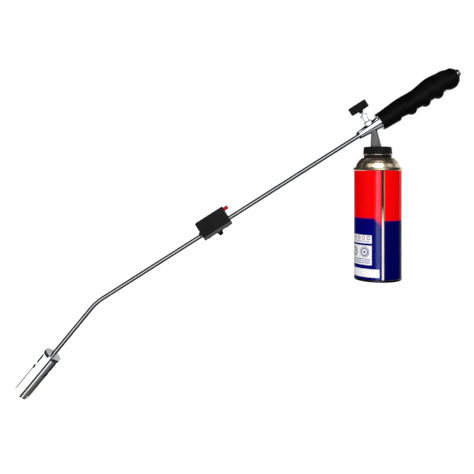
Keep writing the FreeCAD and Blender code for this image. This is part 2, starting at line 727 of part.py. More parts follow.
def claw_ring():
    """Steel plate with three claws that hook under the cartridge's flange."""
    plate = sleeve_z(CAP_CAVITY_R - 0.3, 5.5, CAP_ROOF - 1.2, CAP_ROOF, CAN_X)
    claws = []
    for i in range(CLAW_COUNT):
        claws.append(sector(11.7, 10.2, -82.0, CAP_ROOF - 1.2, 120 * i, 30))
        claws.append(sector(14.4, 10.2, -82.0, -80.3, 120 * i, 30))
    screw_hole = rod_z(1.0, CAP_ROOF - 2, CAP_ROOF + 1, CAN_X + 14.5)
    holes = [spin(screw_hole, 120 * i + 60, UP, V(CAN_X, 0, 0)) for i in range(CLAW_COUNT)]
    return plate.fuse(claws).cut(holes)


def claw_screws():
    screws = []
    for i in range(CLAW_COUNT):
        head = V(CAN_X + 14.5, 0, CAP_ROOF - 1.2)
        screws.append(spin(small_screw(head, head + V(0, 0, 3.4)), 120 * i + 60, UP, V(CAN_X, 0, 0)))
    return Part.makeCompound(screws)


def inlet_pin():
    """Brass nozzle that opens the cartridge's valve."""
    profile = [(1.0, -76.2), (2.0, -76.2), (2.4, -75.0), (3.0, -74.4), (3.0, ARM_BOTTOM), (1.6, ARM_BOTTOM),
               (1.6, ARM_BOTTOM - 2.2), (1.0, ARM_BOTTOM - 2.2)]
    return turned(profile, CAN_X)


def inlet_filter():
    """Sintered filter disc in the top of the inlet pin."""
    return rod_z(1.6, ARM_BOTTOM - 2.2, ARM_BOTTOM, CAN_X)


def inlet_seal():
    """Rubber washer round the inlet pin."""
    return sleeve_z(5.2, 3.0, -75.6, -73.6, CAN_X)


# Cartridge: turned about its own upright axis

def can_body():
    """Drawn steel cylinder, seamed to the dome above and the base below."""
    return sleeve_z(CAN_R, CAN_R - CAN_WALL, CAN_BASE + BASE_SEAM, CAN_SHOULDER, CAN_X)


def can_base():
    """Base disc, dished inwards, with the seam ring that it stands on."""
    foot = CAN_BASE
    rim_top = foot + BASE_SEAM
    outside = [(0, foot + 9.0), (16, foot + 7.4), (27, foot + 4.2), (30.6, foot), (32.6, foot),
               (CAN_R + 0.4, foot + 1.0), (CAN_R + 0.4, rim_top - 0.8), (CAN_R, rim_top)]
    inside = [(31.4, rim_top), (28, rim_top + 1.4), (16, foot + 8.2), (0, foot + 9.8)]
    return turned(outside + inside, CAN_X)


def can_dome():
    """Gold-lacquered dome with the seam ring at its foot and a bead at its top."""
    seam = [(CAN_R, CAN_SHOULDER), (SEAM_R, CAN_SHOULDER + 0.8), (SEAM_R, SEAM_TOP - 0.7),
            (SEAM_R - 0.7, SEAM_TOP), (32.2, SEAM_TOP), (31.6, SEAM_TOP - 1.2)]
    outer = [(30.8, -96.2), (29.2, -91.6), (26.4, -87.4), (DOME_TOP_R + 0.6, DOME_TOP),
             (DOME_TOP_R - 0.4, DOME_TOP + 0.5), (NECK_R, DOME_TOP + 0.1)]
    inner = [(NECK_R, DOME_TOP - 0.6), (DOME_TOP_R - 0.6, DOME_TOP - 0.6), (25.8, -88.0), (28.4, -91.9),
             (30.0, -96.4), (30.6, -99.0), (CAN_R - CAN_WALL, CAN_SHOULDER)]
    return turned(seam + outer + inner, CAN_X)


def valve_cup():
    """Cup crimped in the dome, with the notched flange that the claws lock under."""
    flange = sleeve_z(FLANGE_R, FLANGE_BORE_R, FLANGE_TOP - 1.0, FLANGE_TOP, CAN_X)
    outer_edges = [edge for edge in flange.Edges if edge.BoundBox.XLength > 2 * FLANGE_R - 1]
    flange = flange.makeFillet(0.4, outer_edges)
    neck = sleeve_z(NECK_R, NECK_R - 1.2, CUP_FLOOR, FLANGE_TOP - 1.0, CAN_X)
    floor = sleeve_z(NECK_R, PEDESTAL_R - 0.6, CUP_FLOOR - 0.6, CUP_FLOOR, CAN_X)
    pedestal = sleeve_z(PEDESTAL_R, PEDESTAL_R - 0.6, CUP_FLOOR, PEDESTAL_TOP, CAN_X)
    lid = sleeve_z(PEDESTAL_R, STEM_R + RUNNING_FIT, PEDESTAL_TOP - 0.6, PEDESTAL_TOP, CAN_X)
    cup = flange.fuse([neck, floor, pedestal, lid]).removeSplitter()
    low = FLANGE_TOP - 1.5
    for i in range(CLAW_COUNT):
        cup = cup.cut(sector(14.9, FLANGE_BORE_R - 0.5, low, low + 2, 120 * i - 60, 38))
    return cup


def collar_ring():
    """Black moulded ring that fills the neck between the flange and the dome."""
    return sleeve_z(COLLAR_RING_R, NECK_R, DOME_TOP + 0.6, FLANGE_TOP - 1.0, CAN_X)


def stem_gasket():
    """Rubber washer that the stem seals against."""
    return sleeve_z(PEDESTAL_R - 0.6, STEM_R + 0.02, PEDESTAL_TOP - 1.8, PEDESTAL_TOP - 0.6, CAN_X)


def valve_housing():
    """Plastic cage that holds the stem and its spring."""
    top = PEDESTAL_TOP - 1.8
    outside = [(PEDESTAL_R - 0.6, top), (PEDESTAL_R - 0.6, top - 6.0), (4.4, top - 7.0),
               (4.4, HOUSING_BOTTOM), (0, HOUSING_BOTTOM)]
    inside = [(0, HOUSING_BOTTOM + 1.2), (3.4, HOUSING_BOTTOM + 1.2), (3.4, top)]
    side_hole = rod_x(1.5, CAN_X + 2.5, CAN_X + 6, 0, HOUSING_BOTTOM + 3.5)
    return turned(outside + inside, CAN_X).cut(side_hole)


def valve_stem():
    """Hollow stem with a shoulder that the spring pushes up."""
    top = FLANGE_TOP + 2.1
    shoulder = PEDESTAL_TOP - 1.9
    profile = [(0.8, top), (STEM_R, top), (STEM_R, shoulder), (3.2, shoulder), (3.2, shoulder - 1.6),
               (1.2, shoulder - 1.6), (1.2, shoulder - 3.2), (0, shoulder - 3.2), (0, shoulder - 1.0),
               (0.8, shoulder - 1.0)]
    return turned(profile, CAN_X)


def valve_spring():
    low = V(CAN_X, 0, HOUSING_BOTTOM + 1.3)
    return coil(2.4, 0.35, 6, low, V(CAN_X, 0, PEDESTAL_TOP - 3.6))


def vapour_tube():
    """Short tube that draws vapour from beside the valve."""
    height = HOUSING_BOTTOM + 3.5
    path = [V(CAN_X + 3.6, 0, height), V(CAN_X + 20, 0, height)]
    return rod(1.5, *path).cut(rod(1.0, path[0] - V(1, 0, 0), path[1] + V(1, 0, 0)))


PARTS = [lance_tube, gas_pipe, ignition_lead, burner_collar, burner_tube, jet_holder, gas_jet,
         electrode_insulator, electrode_rod, flame_holder,
         igniter_housing, igniter_cover, cover_screws, clamp_saddle, saddle_screws, clamp_screw,
         clamp_knob, lead_bush, piezo_case, piezo_crystal, contact_pin, piezo_hammer, hammer_spring,
         igniter_button, button_spring,
         front_ring, valve_body, bonnet, packing_ring, gland_nut, valve_spindle, control_knob,
         knob_screw,
         grip_flange, grip_core, end_plug, grip, end_washer, end_nut,
         inlet_arm, lock_cap, claw_ring, claw_screws, inlet_pin, inlet_filter, inlet_seal,
         can_body, can_base, can_dome, valve_cup, collar_ring, stem_gasket, valve_housing, valve_stem,
         valve_spring, vapour_tube]

os.makedirs("parts", exist_ok=True)
for part in PARTS:
    save(part.__name__, part())
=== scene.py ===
import math

import bpy
from mathutils import Matrix, Vector


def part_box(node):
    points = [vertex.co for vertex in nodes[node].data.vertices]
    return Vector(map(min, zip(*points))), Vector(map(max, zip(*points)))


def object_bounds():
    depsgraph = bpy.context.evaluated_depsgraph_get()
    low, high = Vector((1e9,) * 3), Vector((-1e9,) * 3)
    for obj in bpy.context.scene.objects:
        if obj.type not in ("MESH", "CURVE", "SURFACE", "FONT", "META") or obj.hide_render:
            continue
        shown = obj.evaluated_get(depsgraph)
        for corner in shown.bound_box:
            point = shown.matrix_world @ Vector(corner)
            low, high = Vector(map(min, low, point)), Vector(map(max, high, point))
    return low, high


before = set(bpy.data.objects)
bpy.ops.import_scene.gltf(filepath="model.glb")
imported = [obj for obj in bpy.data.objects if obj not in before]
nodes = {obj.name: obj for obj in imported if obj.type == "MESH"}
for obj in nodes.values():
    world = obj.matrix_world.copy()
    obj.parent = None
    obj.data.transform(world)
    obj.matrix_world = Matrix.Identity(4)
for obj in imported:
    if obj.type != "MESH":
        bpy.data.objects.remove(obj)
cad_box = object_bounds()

scene = bpy.context.scene

# Places that the pieces and the stage are worked out from, in metres
LANCE_TILT_DEGREES = 32.4
BEND_DEGREES = 18.2
LANCE_TILT = math.radians(LANCE_TILT_DEGREES)
ALONG = Vector((math.cos(LANCE_TILT), 0, math.sin(LANCE_TILT)))
ABOVE = Vector((-math.sin(LANCE_TILT), 0, math.cos(LANCE_TILT)))
CAN_LOW, CAN_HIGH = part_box("can_body")
CAN_X = (CAN_LOW.x + CAN_HIGH.x) / 2
CAN_RADIUS = (CAN_HIGH.x - CAN_LOW.x) / 2
BEND_STATION = -0.536
BURNER_SLOPE = math.radians(LANCE_TILT_DEGREES + BEND_DEGREES)
BURNER_WAY = Vector((-math.cos(BURNER_SLOPE), 0, -math.sin(BURNER_SLOPE)))
BURNER_INSIDE = 0.0119
FLOOR_GAP = 0.002
FLOOR_Z = cad_box[0][2] - FLOOR_GAP

# Camera: level, with its eye at the cartridge's shoulder, in front of the plane of the lance

SENSOR = 0.036
FRAME_WIDTH = 0.6698
EYE_DISTANCE = 0.9
EYE_X = -0.2538
EYE_ABOVE_CAN = 0.0007
EYE_Z = CAN_HIGH.z + EYE_ABOVE_CAN
FRAME_MIDDLE_Z = -0.1951


def make_camera():
    data = bpy.data.cameras.new("camera")
    data.sensor_width = SENSOR * 1000
    data.lens = SENSOR * 1000 * EYE_DISTANCE / FRAME_WIDTH
    data.shift_y = (FRAME_MIDDLE_Z - EYE_Z) / FRAME_WIDTH
    data.clip_start = 0.01
    camera = bpy.data.objects.new("camera", data)
    camera.location = (EYE_X, -EYE_DISTANCE, EYE_Z)
    camera.rotation_euler = (math.pi / 2, 0, 0)
    scene.collection.objects.link(camera)
    scene.camera = camera


# Node-tree helpers

class Nodes:
    """A node tree, with short calls for the nodes used here."""

    def __init__(self, tree):
        self.tree = tree

    def add(self, kind, settings=None, **inputs):
        node = self.tree.nodes.new("ShaderNode" + kind)
        for key, value in (settings or {}).items():
            setattr(node, key, value)
        for key, value in inputs.items():
            self.feed(node, key.replace("_", " "), value)
        return node

    def feed(self, node, socket, value):
        target = node.inputs[int(socket)] if socket.isdigit() else node.inputs[socket]
        if isinstance(value, bpy.types.NodeSocket):
            self.tree.links.new(value, target)
        else:
            target.default_value = value

    def math(self, operation, first, second=0.0, third=0.0):
        node = self.add("Math", {"operation": operation})
        for index, value in enumerate((first, second, third)):
            self.feed(node, str(index), value)
        return node.outputs[0]

    def dot(self, vector, axis):
        node = self.add("VectorMath", {"operation": "DOT_PRODUCT"})
        self.feed(node, "0", vector)
        self.feed(node, "1", axis)
        return node.outputs["Value"]

    def ramp(self, value, stops):
        """Grey ramp through (position, brightness) stops."""
        node = self.add("ValToRGB", None, Fac=value)
        elements = node.color_ramp.elements
        while len(elements) < len(stops):
            elements.new(0.5)
        for element, (position, brightness) in zip(elements, stops):
            element.position = position
            element.color = (brightness, brightness, brightness, 1.0)
        return node.outputs["Color"]

    def mix(self, share, first, second):
        node = self.add("Mix", {"data_type": "RGBA"})
        self.feed(node, "0", share)
        for index, value in ((6, first), (7, second)):
            self.feed(node, str(index), value if isinstance(value, bpy.types.NodeSocket) else (*value, 1.0))
        return node.outputs[2]

    def remap(self, value, low, high, to_low, to_high):
        node = self.add("MapRange", {"clamp": True})
        for key, item in (("Value", value), ("From Min", low), ("From Max", high),
                          ("To Min", to_low), ("To Max", to_high)):
            self.feed(node, key, item)
        return node.outputs["Result"]


class Shader(Nodes):
    """A material on the Principled shader."""

    def __init__(self, name):
        self.material = bpy.data.materials.new(name)
        self.material.use_nodes = True
        super().__init__(self.material.node_tree)
        self.surface = self.tree.nodes["Principled BSDF"]

    def set(self, **inputs):
        for key, value in inputs.items():
            self.feed(self.surface, key.replace("_", " "), value)

    def position(self):
        return self.add("TexCoord").outputs["Object"]

    def noise(self, scale, detail, roughness, vector=None):
        vector = vector or self.position()
        node = self.add("TexNoise", None, Vector=vector, Scale=scale, Detail=detail,
                        Roughness=roughness)
        return node.outputs["Fac"]

    def stretch(self, axis_scale):
        """Object position, scaled along the lance, across it and above it."""
        turned = self.add("VectorRotate", {"rotation_type": "Y_AXIS"}, Vector=self.position(),
                          Angle=LANCE_TILT)
        scaled = self.add("VectorMath", {"operation": "MULTIPLY"})
        self.feed(scaled, "0", turned.outputs[0])
        self.feed(scaled, "1", axis_scale)
        return scaled.outputs[0]

    def bump(self, *heights):
        """Chain of bumps from (height, distance in metres, strength) rows."""
        normal = None
        for height, distance, strength in heights:
            node = self.add("Bump", None, Height=height, Distance=distance, Strength=strength)
            if normal is not None:
                self.feed(node, "Normal", normal)
            normal = node.outputs["Normal"]
        self.set(Normal=normal)


# How much a smudge darkens metal, and how much a worn patch lightens plastic or rubber
SMUDGE_DULLING = 0.86
PLASTIC_LIGHTENING = (1.7, 0.004)
RUBBER_LIGHTENING = (2, 0.01)
# Depth of drawn metal's marks, in metres, and how strongly plain plastic shines
GRAIN_DEPTH = 0.00002
PLASTIC_SHINE = 0.09


def lighten(color, lightening):
    """Colour times a factor, plus an offset."""
    factor, offset = lightening
    return tuple(min(1.0, channel * factor + offset) for channel in color)


def metal(name, color, roughness, wear=0.04, grain=(40.0, 900.0, 900.0)):
    """Polished or drawn metal with faint marks along the lance, smudges and tarnish."""
    shader = Shader(name)
    smudge = shader.noise(38.0, 5.0, 0.6)
    marks = shader.noise(1.0, 3.0, 0.6, shader.stretch(grain))
    tint = shader.remap(smudge, 0.35, 0.75, 0.0, 1.0)
    dulled = tuple(channel * SMUDGE_DULLING for channel in color)
    shader.set(Base_Color=shader.mix(tint, color, dulled), Metallic=1.0)
    shader.set(Roughness=shader.remap(smudge, 0.3, 0.75, roughness, roughness + wear))
    shader.bump((marks, GRAIN_DEPTH, 0.25))
    return shader.material


def plastic(name, color, roughness, pebble, depth, spread=0.12, coat=0.0):
    """Moulded plastic with a fine spark-eroded grain and slightly uneven gloss."""
    shader = Shader(name)
    patches = shader.noise(55.0, 4.0, 0.6)
    grain = shader.noise(pebble, 3.0, 0.6)
    worn = shader.remap(patches, 0.35, 0.8, 0.0, 0.55)
    shader.set(Base_Color=shader.mix(worn, color, lighten(color, PLASTIC_LIGHTENING)))
    shader.set(Roughness=shader.remap(grain, 0.3, 0.7, roughness - spread / 2, roughness + spread / 2))
    shader.set(Coat_Weight=coat, Coat_Roughness=0.25, Specular_IOR_Level=PLASTIC_SHINE)
    shader.bump((patches, 0.0002, 0.08), (grain, depth, 0.5))
    return shader.material


# Cartridge print: red above blue, three plain white panels, a bare seam stripe with painted shade at its top
# and a painted shadow beside it

RED = (0.86, 0.0, 0.001)
RED_WORN = (0.76, 0.0, 0.002)
BLUE = (0.0006, 0.0, 0.14)
BLUE_DARK = (0.0004, 0.0, 0.085)
PAPER = (0.86, 0.86, 0.88)
SMALL_PRINT = (0.03, 0.03, 0.22)
RING_PRINTS = ((0.04, 0.03, 0.16), (0.30, 0.02, 0.06))
DIAL_PRINT = (0.06, 0.05, 0.16)
CREAM = (0.80, 0.74, 0.60)
# Painted shade that darkens the top of the bare seam stripe
STRIPE_TOP_SHADE = (0.012, 0.010, 0.009)
WELD_DARK = (0.006, 0.006, 0.008)
WELD_BROWN = (0.30, 0.22, 0.16)
SEAM_SHADOW = (0.02, 0.004, 0.01)
LABEL_TURN = math.radians(-12.5)
SEAM_STRIPE = (math.radians(9.8), math.radians(16.4))
LEFT_EDGE = math.radians(-128)
PANELS = (
    # lower edge, upper edge, right edge as an angle round the cartridge from the front
    (-0.2012, -0.1900, math.radians(-14.0)),
    (-0.2308, -0.2042, math.radians(-14.0)),
    (-0.2475, -0.2363, math.radians(4.0)),
)
# Height where red meets blue, how far it dips towards the seam, and its drop right of the seam
COLOUR_EDGE = -0.1664
COLOUR_EDGE_DIP = 0.0085
RIGHT_EDGE_DROP = 0.0034
# Heights between which the bare seam stripe goes from cream to a near-black painted shade at its top, and its
# weld line from dark to brown
STRIPE_TOP_HEIGHTS = (-0.172, -0.150)
# Small print at the foot of a panel: its margins, its share of the panel's height, its rows and how
# much of a row is inked
PRINT_MARGIN = 0.0014
PRINT_MARGIN_ANGLE = 0.06
PRINT_SHARE = 0.34
PRINT_ROWS = 3
PRINT_FILL = 0.5
# Rings and dials above it: how high up the panel, how many, the angle of the first from the panel's
# right edge, the angle between two, and each circle's radius and thickness
SYMBOL_SHARE = 0.66
RING_COUNT, RING_START, RING_STEP, RING_SIZE = 6, 0.14, 0.24, (0.0022, 0.0010)
DIAL_COUNT, DIAL_START, DIAL_STEP = 3, 0.33, 0.62
DIAL_CIRCLES = ((0.0070, 0.0009), (0.0048, 0.0016), (0.0018, None))


def within(shader, value, low, high, soft=0.0001):
    """1 between low and high, else 0, with a soft edge."""
    rising = shader.remap(value, low - soft, low + soft, 0.0, 1.0)
    falling = shader.remap(value, high - soft, high + soft, 1.0, 0.0)
    return shader.math("MULTIPLY", rising, falling)


def round_can(shader):
    """Angle round the cartridge from the middle of its label, and height, of the point shaded."""
    split = shader.add("SeparateXYZ", None, Vector=shader.position())
    sideways = shader.math("SUBTRACT", split.outputs["X"], CAN_X)
    forwards = shader.math("MULTIPLY", split.outputs["Y"], -1.0)
    angle = shader.math("SUBTRACT", shader.math("ARCTAN2", sideways, forwards), LABEL_TURN)
    angle = shader.math("WRAP", angle, math.pi, -math.pi)
    return angle, split.outputs["Z"]


def label_box(shader, angle, height, heights, angles):
    """1 inside a box on the cartridge's side, given by two heights and two angles."""
    return shader.math("MULTIPLY", within(shader, height, *heights), within(shader, angle, *angles, 0.003))


def print_lines(shader, angle, height, heights, angles):
    """Rows of plain bars that stand for small print, one noise-broken bar to a row."""
    low, high = heights
    pitch = (high - low) / PRINT_ROWS
    place = shader.math("DIVIDE", shader.math("SUBTRACT", height, low), pitch)
    row = shader.math("FLOOR", place)
    across = within(shader, shader.math("FRACT", place), 0.5 - PRINT_FILL / 2, 0.5 + PRINT_FILL / 2, 0.08)
    joined = shader.add("CombineXYZ", None, X=shader.math("MULTIPLY", angle, 34.0),
                        Y=shader.math("MULTIPLY", row, 7.3))
    words = shader.noise(1.0, 1.0, 0.5, joined.outputs[0])
    inked = shader.remap(words, 0.44, 0.46, 0.0, 1.0)
    box = label_box(shader, angle, height, heights, angles)
    return shader.math("MULTIPLY", shader.math("MULTIPLY", across, inked), box)


def disc(shader, angle, height, centre_angle, centre_height, radius, thickness=None):
    """1 inside a printed disc, or on a ring when it is given a thickness."""
    east = shader.math("MULTIPLY", shader.math("SUBTRACT", angle, centre_angle), CAN_RADIUS)
    north = shader.math("SUBTRACT", height, centre_height)
    square = shader.math("ADD", shader.math("MULTIPLY", east, east), shader.math("MULTIPLY", north, north))
    distance = shader.math("SQRT", square)
    if thickness is None:
        return shader.remap(distance, radius - 0.00015, radius + 0.00015, 1.0, 0.0)
    return within(shader, distance, radius - thickness / 2, radius + thickness / 2, 0.00012)


def can_paint():
    """Glossy print on tinplate; the seam stripe has painted shade at its top and a painted shadow beside it.
    """
    shader = Shader("can_print")
    angle, height = round_can(shader)
    mottle = shader.noise(70.0, 4.0, 0.6)
    fine = shader.noise(1400.0, 2.0, 0.5)
    red = shader.mix(shader.remap(mottle, 0.3, 0.8, 0.0, 0.35), RED, RED_WORN)
    right_side = within(shader, angle, SEAM_STRIPE[1], math.pi, 0.002)
    blue = shader.mix(right_side, BLUE, BLUE_DARK)
    dip = shader.remap(angle, math.radians(-10), SEAM_STRIPE[0], 0.0, COLOUR_EDGE_DIP)
    right_drop = shader.math("MULTIPLY", right_side, COLOUR_EDGE_DIP - RIGHT_EDGE_DROP)
    edge = shader.math("ADD", shader.math("SUBTRACT", COLOUR_EDGE, dip), right_drop)
    blur = shader.remap(angle, math.radians(-8), SEAM_STRIPE[0], 0.0012, 0.007)
    blur = shader.math("MINIMUM", blur, shader.remap(right_side, 0.0, 1.0, 1.0, 0.0010))
    above_edge = shader.math("DIVIDE", shader.math("SUBTRACT", height, edge), blur)
    colour = shader.mix(shader.remap(above_edge, -1.0, 1.0, 0.0, 1.0), blue, red)
    for low, high, right in PANELS:
        panel = label_box(shader, angle, height, (low, high), (LEFT_EDGE, right))
        colour = shader.mix(panel, colour, PAPER)
    for low, high, right in PANELS[:2]:
        top = low + (high - low) * PRINT_SHARE
        lines = print_lines(shader, angle, height, (low + PRINT_MARGIN, top),
                            (LEFT_EDGE + PRINT_MARGIN_ANGLE, right - PRINT_MARGIN_ANGLE))
        colour = shader.mix(lines, colour, SMALL_PRINT)
    low, high, right = PANELS[0]
    middle = low + (high - low) * SYMBOL_SHARE
    for step in range(RING_COUNT):
        centre = right - RING_START - RING_STEP * step
        ring = disc(shader, angle, height, centre, middle, *RING_SIZE)
        colour = shader.mix(ring, colour, RING_PRINTS[step % 2])
    low, high, right = PANELS[1]
    middle = low + (high - low) * SYMBOL_SHARE
    for step in range(DIAL_COUNT):
        centre = right - DIAL_START - DIAL_STEP * step
        for radius, thickness in DIAL_CIRCLES:
            ring = disc(shader, angle, height, centre, middle, radius, thickness)
            colour = shader.mix(ring, colour, DIAL_PRINT)
    stripe = within(shader, angle, *SEAM_STRIPE, 0.004)
    # The bare stripe darkens towards its top: painted shade
    stripe_top = shader.remap(height, *STRIPE_TOP_HEIGHTS, 0.0, 1.0)
    bare = shader.mix(stripe_top, CREAM, STRIPE_TOP_SHADE)
    weld = within(shader, angle, SEAM_STRIPE[1] - 0.032, SEAM_STRIPE[1], 0.006)
    overlap = shader.mix(stripe_top, WELD_DARK, WELD_BROWN)
    colour = shader.mix(stripe, colour, shader.mix(weld, bare, overlap))
    left_shadow = within(shader, angle, SEAM_STRIPE[0] - 0.022, SEAM_STRIPE[0], 0.008)
    colour = shader.mix(shader.math("MULTIPLY", left_shadow, 0.6), colour, SEAM_SHADOW)
    shader.set(Base_Color=colour, Specular_IOR_Level=0.03, Coat_Weight=0.01, Coat_Roughness=0.1)
    shader.set(Roughness=shader.remap(mottle, 0.3, 0.8, 0.12, 0.20))
    shader.bump((weld, 0.00012, 0.6), (fine, 0.000012, 0.25))
    return shader.material


LACQUER = (0.74, 0.60, 0.43)
LACQUER_DULLED = (0.60, 0.46, 0.31)
GLAZE = (0.86, 0.83, 0.76)
GLAZE_SOOTED = (0.35, 0.28, 0.22)
HEAT_TINT = (0.50, 0.40, 0.30)
BURNER_GRAIN = (700.0, 300.0, 300.0)


def gold_lacquer():
    """Lacquered tinplate, spun round the cartridge's axis."""
    shader = Shader("gold_lacquer")
    split = shader.add("SeparateXYZ", None, Vector=shader.position())
    sideways = shader.math("SUBTRACT", split.outputs["X"], CAN_X)
    square = shader.math("ADD", shader.math("POWER", sideways, 2.0),
                         shader.math("POWER", split.outputs["Y"], 2.0))
    radius = shader.math("SQRT", square)
    joined = shader.add("CombineXYZ", None, X=radius, Y=split.outputs["Z"])
    rings = shader.noise(2200.0, 3.0, 0.5, joined.outputs[0])
    patches = shader.noise(60.0, 4.0, 0.6)
    shade = shader.remap(patches, 0.35, 0.75, 0.0, 0.3)
    shader.set(Base_Color=shader.mix(shade, LACQUER, LACQUER_DULLED), Metallic=1.0)
    shader.set(Roughness=shader.remap(patches, 0.3, 0.7, 0.25, 0.3), Coat_Weight=0.3, Coat_Roughness=0.1)
    shader.bump((rings, 0.00002, 0.3))
    return shader.material


def ceramic():
    shader = Shader("ceramic_glaze")
    specks = shader.noise(900.0, 2.0, 0.5)
    soot_and_shade = shader.remap(shader.noise(90.0, 5.0, 0.6), 0.5, 0.75, 0.0, 0.6)
    shader.set(Base_Color=shader.mix(soot_and_shade, GLAZE, GLAZE_SOOTED))
    shader.set(Roughness=shader.remap(specks, 0.3, 0.7, 0.2, 0.35))
    return shader.material


def rubber(name, color):
    shader = Shader(name)
    bloom = shader.noise(240.0, 4.0, 0.6)
    bloomed = shader.remap(bloom, 0.4, 0.8, 0.0, 0.5)
    shader.set(Base_Color=shader.mix(bloomed, color, lighten(color, RUBBER_LIGHTENING)))
    shader.set(Roughness=shader.remap(bloom, 0.3, 0.7, 0.55, 0.75))
    shader.bump((bloom, 0.00003, 0.4))
    return shader.material


def burner_steel(name, color, roughness, hottest):
    """Polished burner steel that takes a straw heat tint towards the mouth."""
    shader = Shader(name)
    low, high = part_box("burner_tube")
    start = Vector((high.x, 0, high.z))
    run = Vector((low.x, 0, low.z)) - start
    offset = shader.add("VectorMath", {"operation": "SUBTRACT"})
    shader.feed(offset, "0", shader.position())
    shader.feed(offset, "1", start)
    projected = shader.add("VectorMath", {"operation": "DOT_PRODUCT"})
    shader.feed(projected, "0", offset.outputs[0])
    shader.feed(projected, "1", run / run.length_squared)
    drift = shader.math("MULTIPLY", shader.noise(60.0, 4.0, 0.6), 0.25)
    share = shader.math("ADD", projected.outputs["Value"], shader.math("SUBTRACT", drift, 0.125))
    straw = shader.remap(share, 0.35, 0.85, 0.0, hottest)
    colour = shader.mix(straw, color, HEAT_TINT)
    shader.set(Base_Color=colour, Metallic=1.0)
    smudge = shader.noise(120.0, 5.0, 0.6)
    shader.set(Roughness=shader.remap(smudge, 0.3, 0.75, roughness, roughness + 0.06))
    shader.bump((shader.noise(1.0, 3.0, 0.6, shader.stretch(BURNER_GRAIN)), 0.00002, 0.2))
    return shader.material


# Stage: a wide pale floor, a bright soft sky and soft lamps

FLOOR_HALF_WIDTH = 14.0
SKY_STRENGTH = 1.35
SKY_SEEN_STRENGTH = 1.05
# Lights and dark gaps that the lance mirrors: angle round its axis in degrees, from straight in
# front and upwards, and brightness
SKY_LIGHTS = ((-180, 0.45), (-172, 0.45), (-164, 0.75), (-135, 0.75), (-124, 0.02), (-15, 0.02),
              (-10, 1.0), (10, 1.0), (15, 0.02), (164, 0.02), (172, 0.45), (180, 0.45))
# Strips that only the valve, the burner or the lance mirrors: two angles round the axis in degrees
# and brightness
VALVE_STRIPS = ((8, 48, 1.3), (74, 98, 1.5), (-66, -40, 0.5), (-95, -66, 0.15))
BURNER_STRIPS = ((8, 60, 1.3), (60, 112, 1.3), (112, 164, 1.3), (-45, -30, 1.1), (-66, -45, 0.2),
                 (-95, -66, 0.08))
LANCE_STRIP = (112, 164, 1.2)
STRIP_DISTANCE = 1.5
STRIP_LENGTH = 2.4
# Where the middle of the strips lies along the lance, or along the burner from the bend
LANCE_STRIP_STATION = -0.3
VALVE_STRIP_STATION = 0.15
BURNER_STRIP_STATION = 0.7
# Bluish lamp that the cartridge's side mirrors: place, height it aims at, side and watts
HIGHLIGHT_PLACE = (-0.393, -1.83, -0.36)
HIGHLIGHT_AIM_Z = -0.17
HIGHLIGHT_SIZE = 0.62
HIGHLIGHT_POWER = 60.0
HIGHLIGHT_COLOUR = (0.42, 0.54, 0.85)
# Lamps that the cartridge's dome mirrors: distance right of its middle, width and watts
DOME_LIGHTS = ((-0.1, 0.8, 14.0), (-1.3, 1.0, 3.5))
DOME_LIGHT_Y, DOME_LIGHT_Z, DOME_LIGHT_DEPTH = -1.0, 0.8, 0.7
# Soft fills that no surface mirrors: name, place, two sides and watts
FILL_AIM = (-0.15, 0.0, -0.15)
FILLS = (
    ("front_fill", (-0.2, -2.2, 0.2), 2.4, 2.0, 39.0),
    ("left_fill", (-2.0, -0.9, 0.2), 1.5, 1.5, 20.0),
    ("right_fill", (1.8, -0.9, 0.2), 1.5, 1.5, 11.0),
)


def make_floor():
    mesh = bpy.data.meshes.new("floor")
    half = FLOOR_HALF_WIDTH
    corners = [(-half, -half), (half, -half), (half, half), (-half, half)]
    mesh.from_pydata([(x, y, FLOOR_Z) for x, y in corners], [], [(0, 1, 2, 3)])
    floor = bpy.data.objects.new("floor", mesh)
    scene.collection.objects.link(floor)
    shader = Shader("floor_paper")
    shader.set(Base_Color=(0.93, 0.93, 0.93, 1.0), Roughness=0.9, Specular_IOR_Level=0.1)
    shader.set(Emission_Color=(1.0, 1.0, 1.0, 1.0), Emission_Strength=1.0)
    mesh.materials.append(shader.material)
    floor.visible_glossy = False
    floor.visible_diffuse = False
    floor.visible_shadow = False


def make_sky():
    """White to the eye; in reflections, long soft lights and dark gaps that run beside the lance."""
    world = bpy.data.worlds.new("studio")
    world.use_nodes = True
    scene.world = world
    sky = Nodes(world.node_tree)
    sky.tree.nodes.clear()
    way = sky.add("TexCoord").outputs["Generated"]
    turn = sky.math("ARCTAN2", sky.dot(way, ABOVE), sky.dot(way, Vector((0, -1, 0))))
    share = sky.remap(turn, -math.pi, math.pi, 0.0, 1.0)
    stops = [((degrees + 180) / 360, brightness) for degrees, brightness in SKY_LIGHTS]
    shaded = sky.add("Background", None, Color=sky.ramp(share, stops), Strength=SKY_STRENGTH)
    plain = sky.add("Background", None, Color=(1.0, 1.0, 1.0, 1.0), Strength=SKY_SEEN_STRENGTH)
    chooser = sky.add("MixShader")
    sky.feed(chooser, "0", sky.add("LightPath").outputs["Is Camera Ray"])
    sky.feed(chooser, "1", shaded.outputs[0])
    sky.feed(chooser, "2", plain.outputs[0])
    sky.add("OutputWorld", None, Surface=chooser.outputs[0])


def add_lamp(name, place, target, size, size_y, power, mirrored=False):
    """Soft lamp that either lights surfaces evenly or only shows as a reflection."""
    data = bpy.data.lights.new(name, "AREA")
    data.shape = "RECTANGLE"
    data.size = size
    data.size_y = size_y
    data.energy = power
    lamp = bpy.data.objects.new(name, data)
    lamp.location = place
    aim = Vector(target) - Vector(place)
    lamp.rotation_euler = aim.to_track_quat("-Z", "Y").to_euler()
    lamp.visible_camera = False
    lamp.visible_glossy = mirrored
    lamp.visible_diffuse = not mirrored
    scene.collection.objects.link(lamp)
    return lamp


def light_only(lamp, *names):
    """Let a lamp reach the named CAD nodes and nothing else."""
    lit = bpy.data.collections.new(lamp.name + "_lights")
    for name in names:
        lit.objects.link(nodes[name])
    lamp.light_linking.receiver_collection = lit


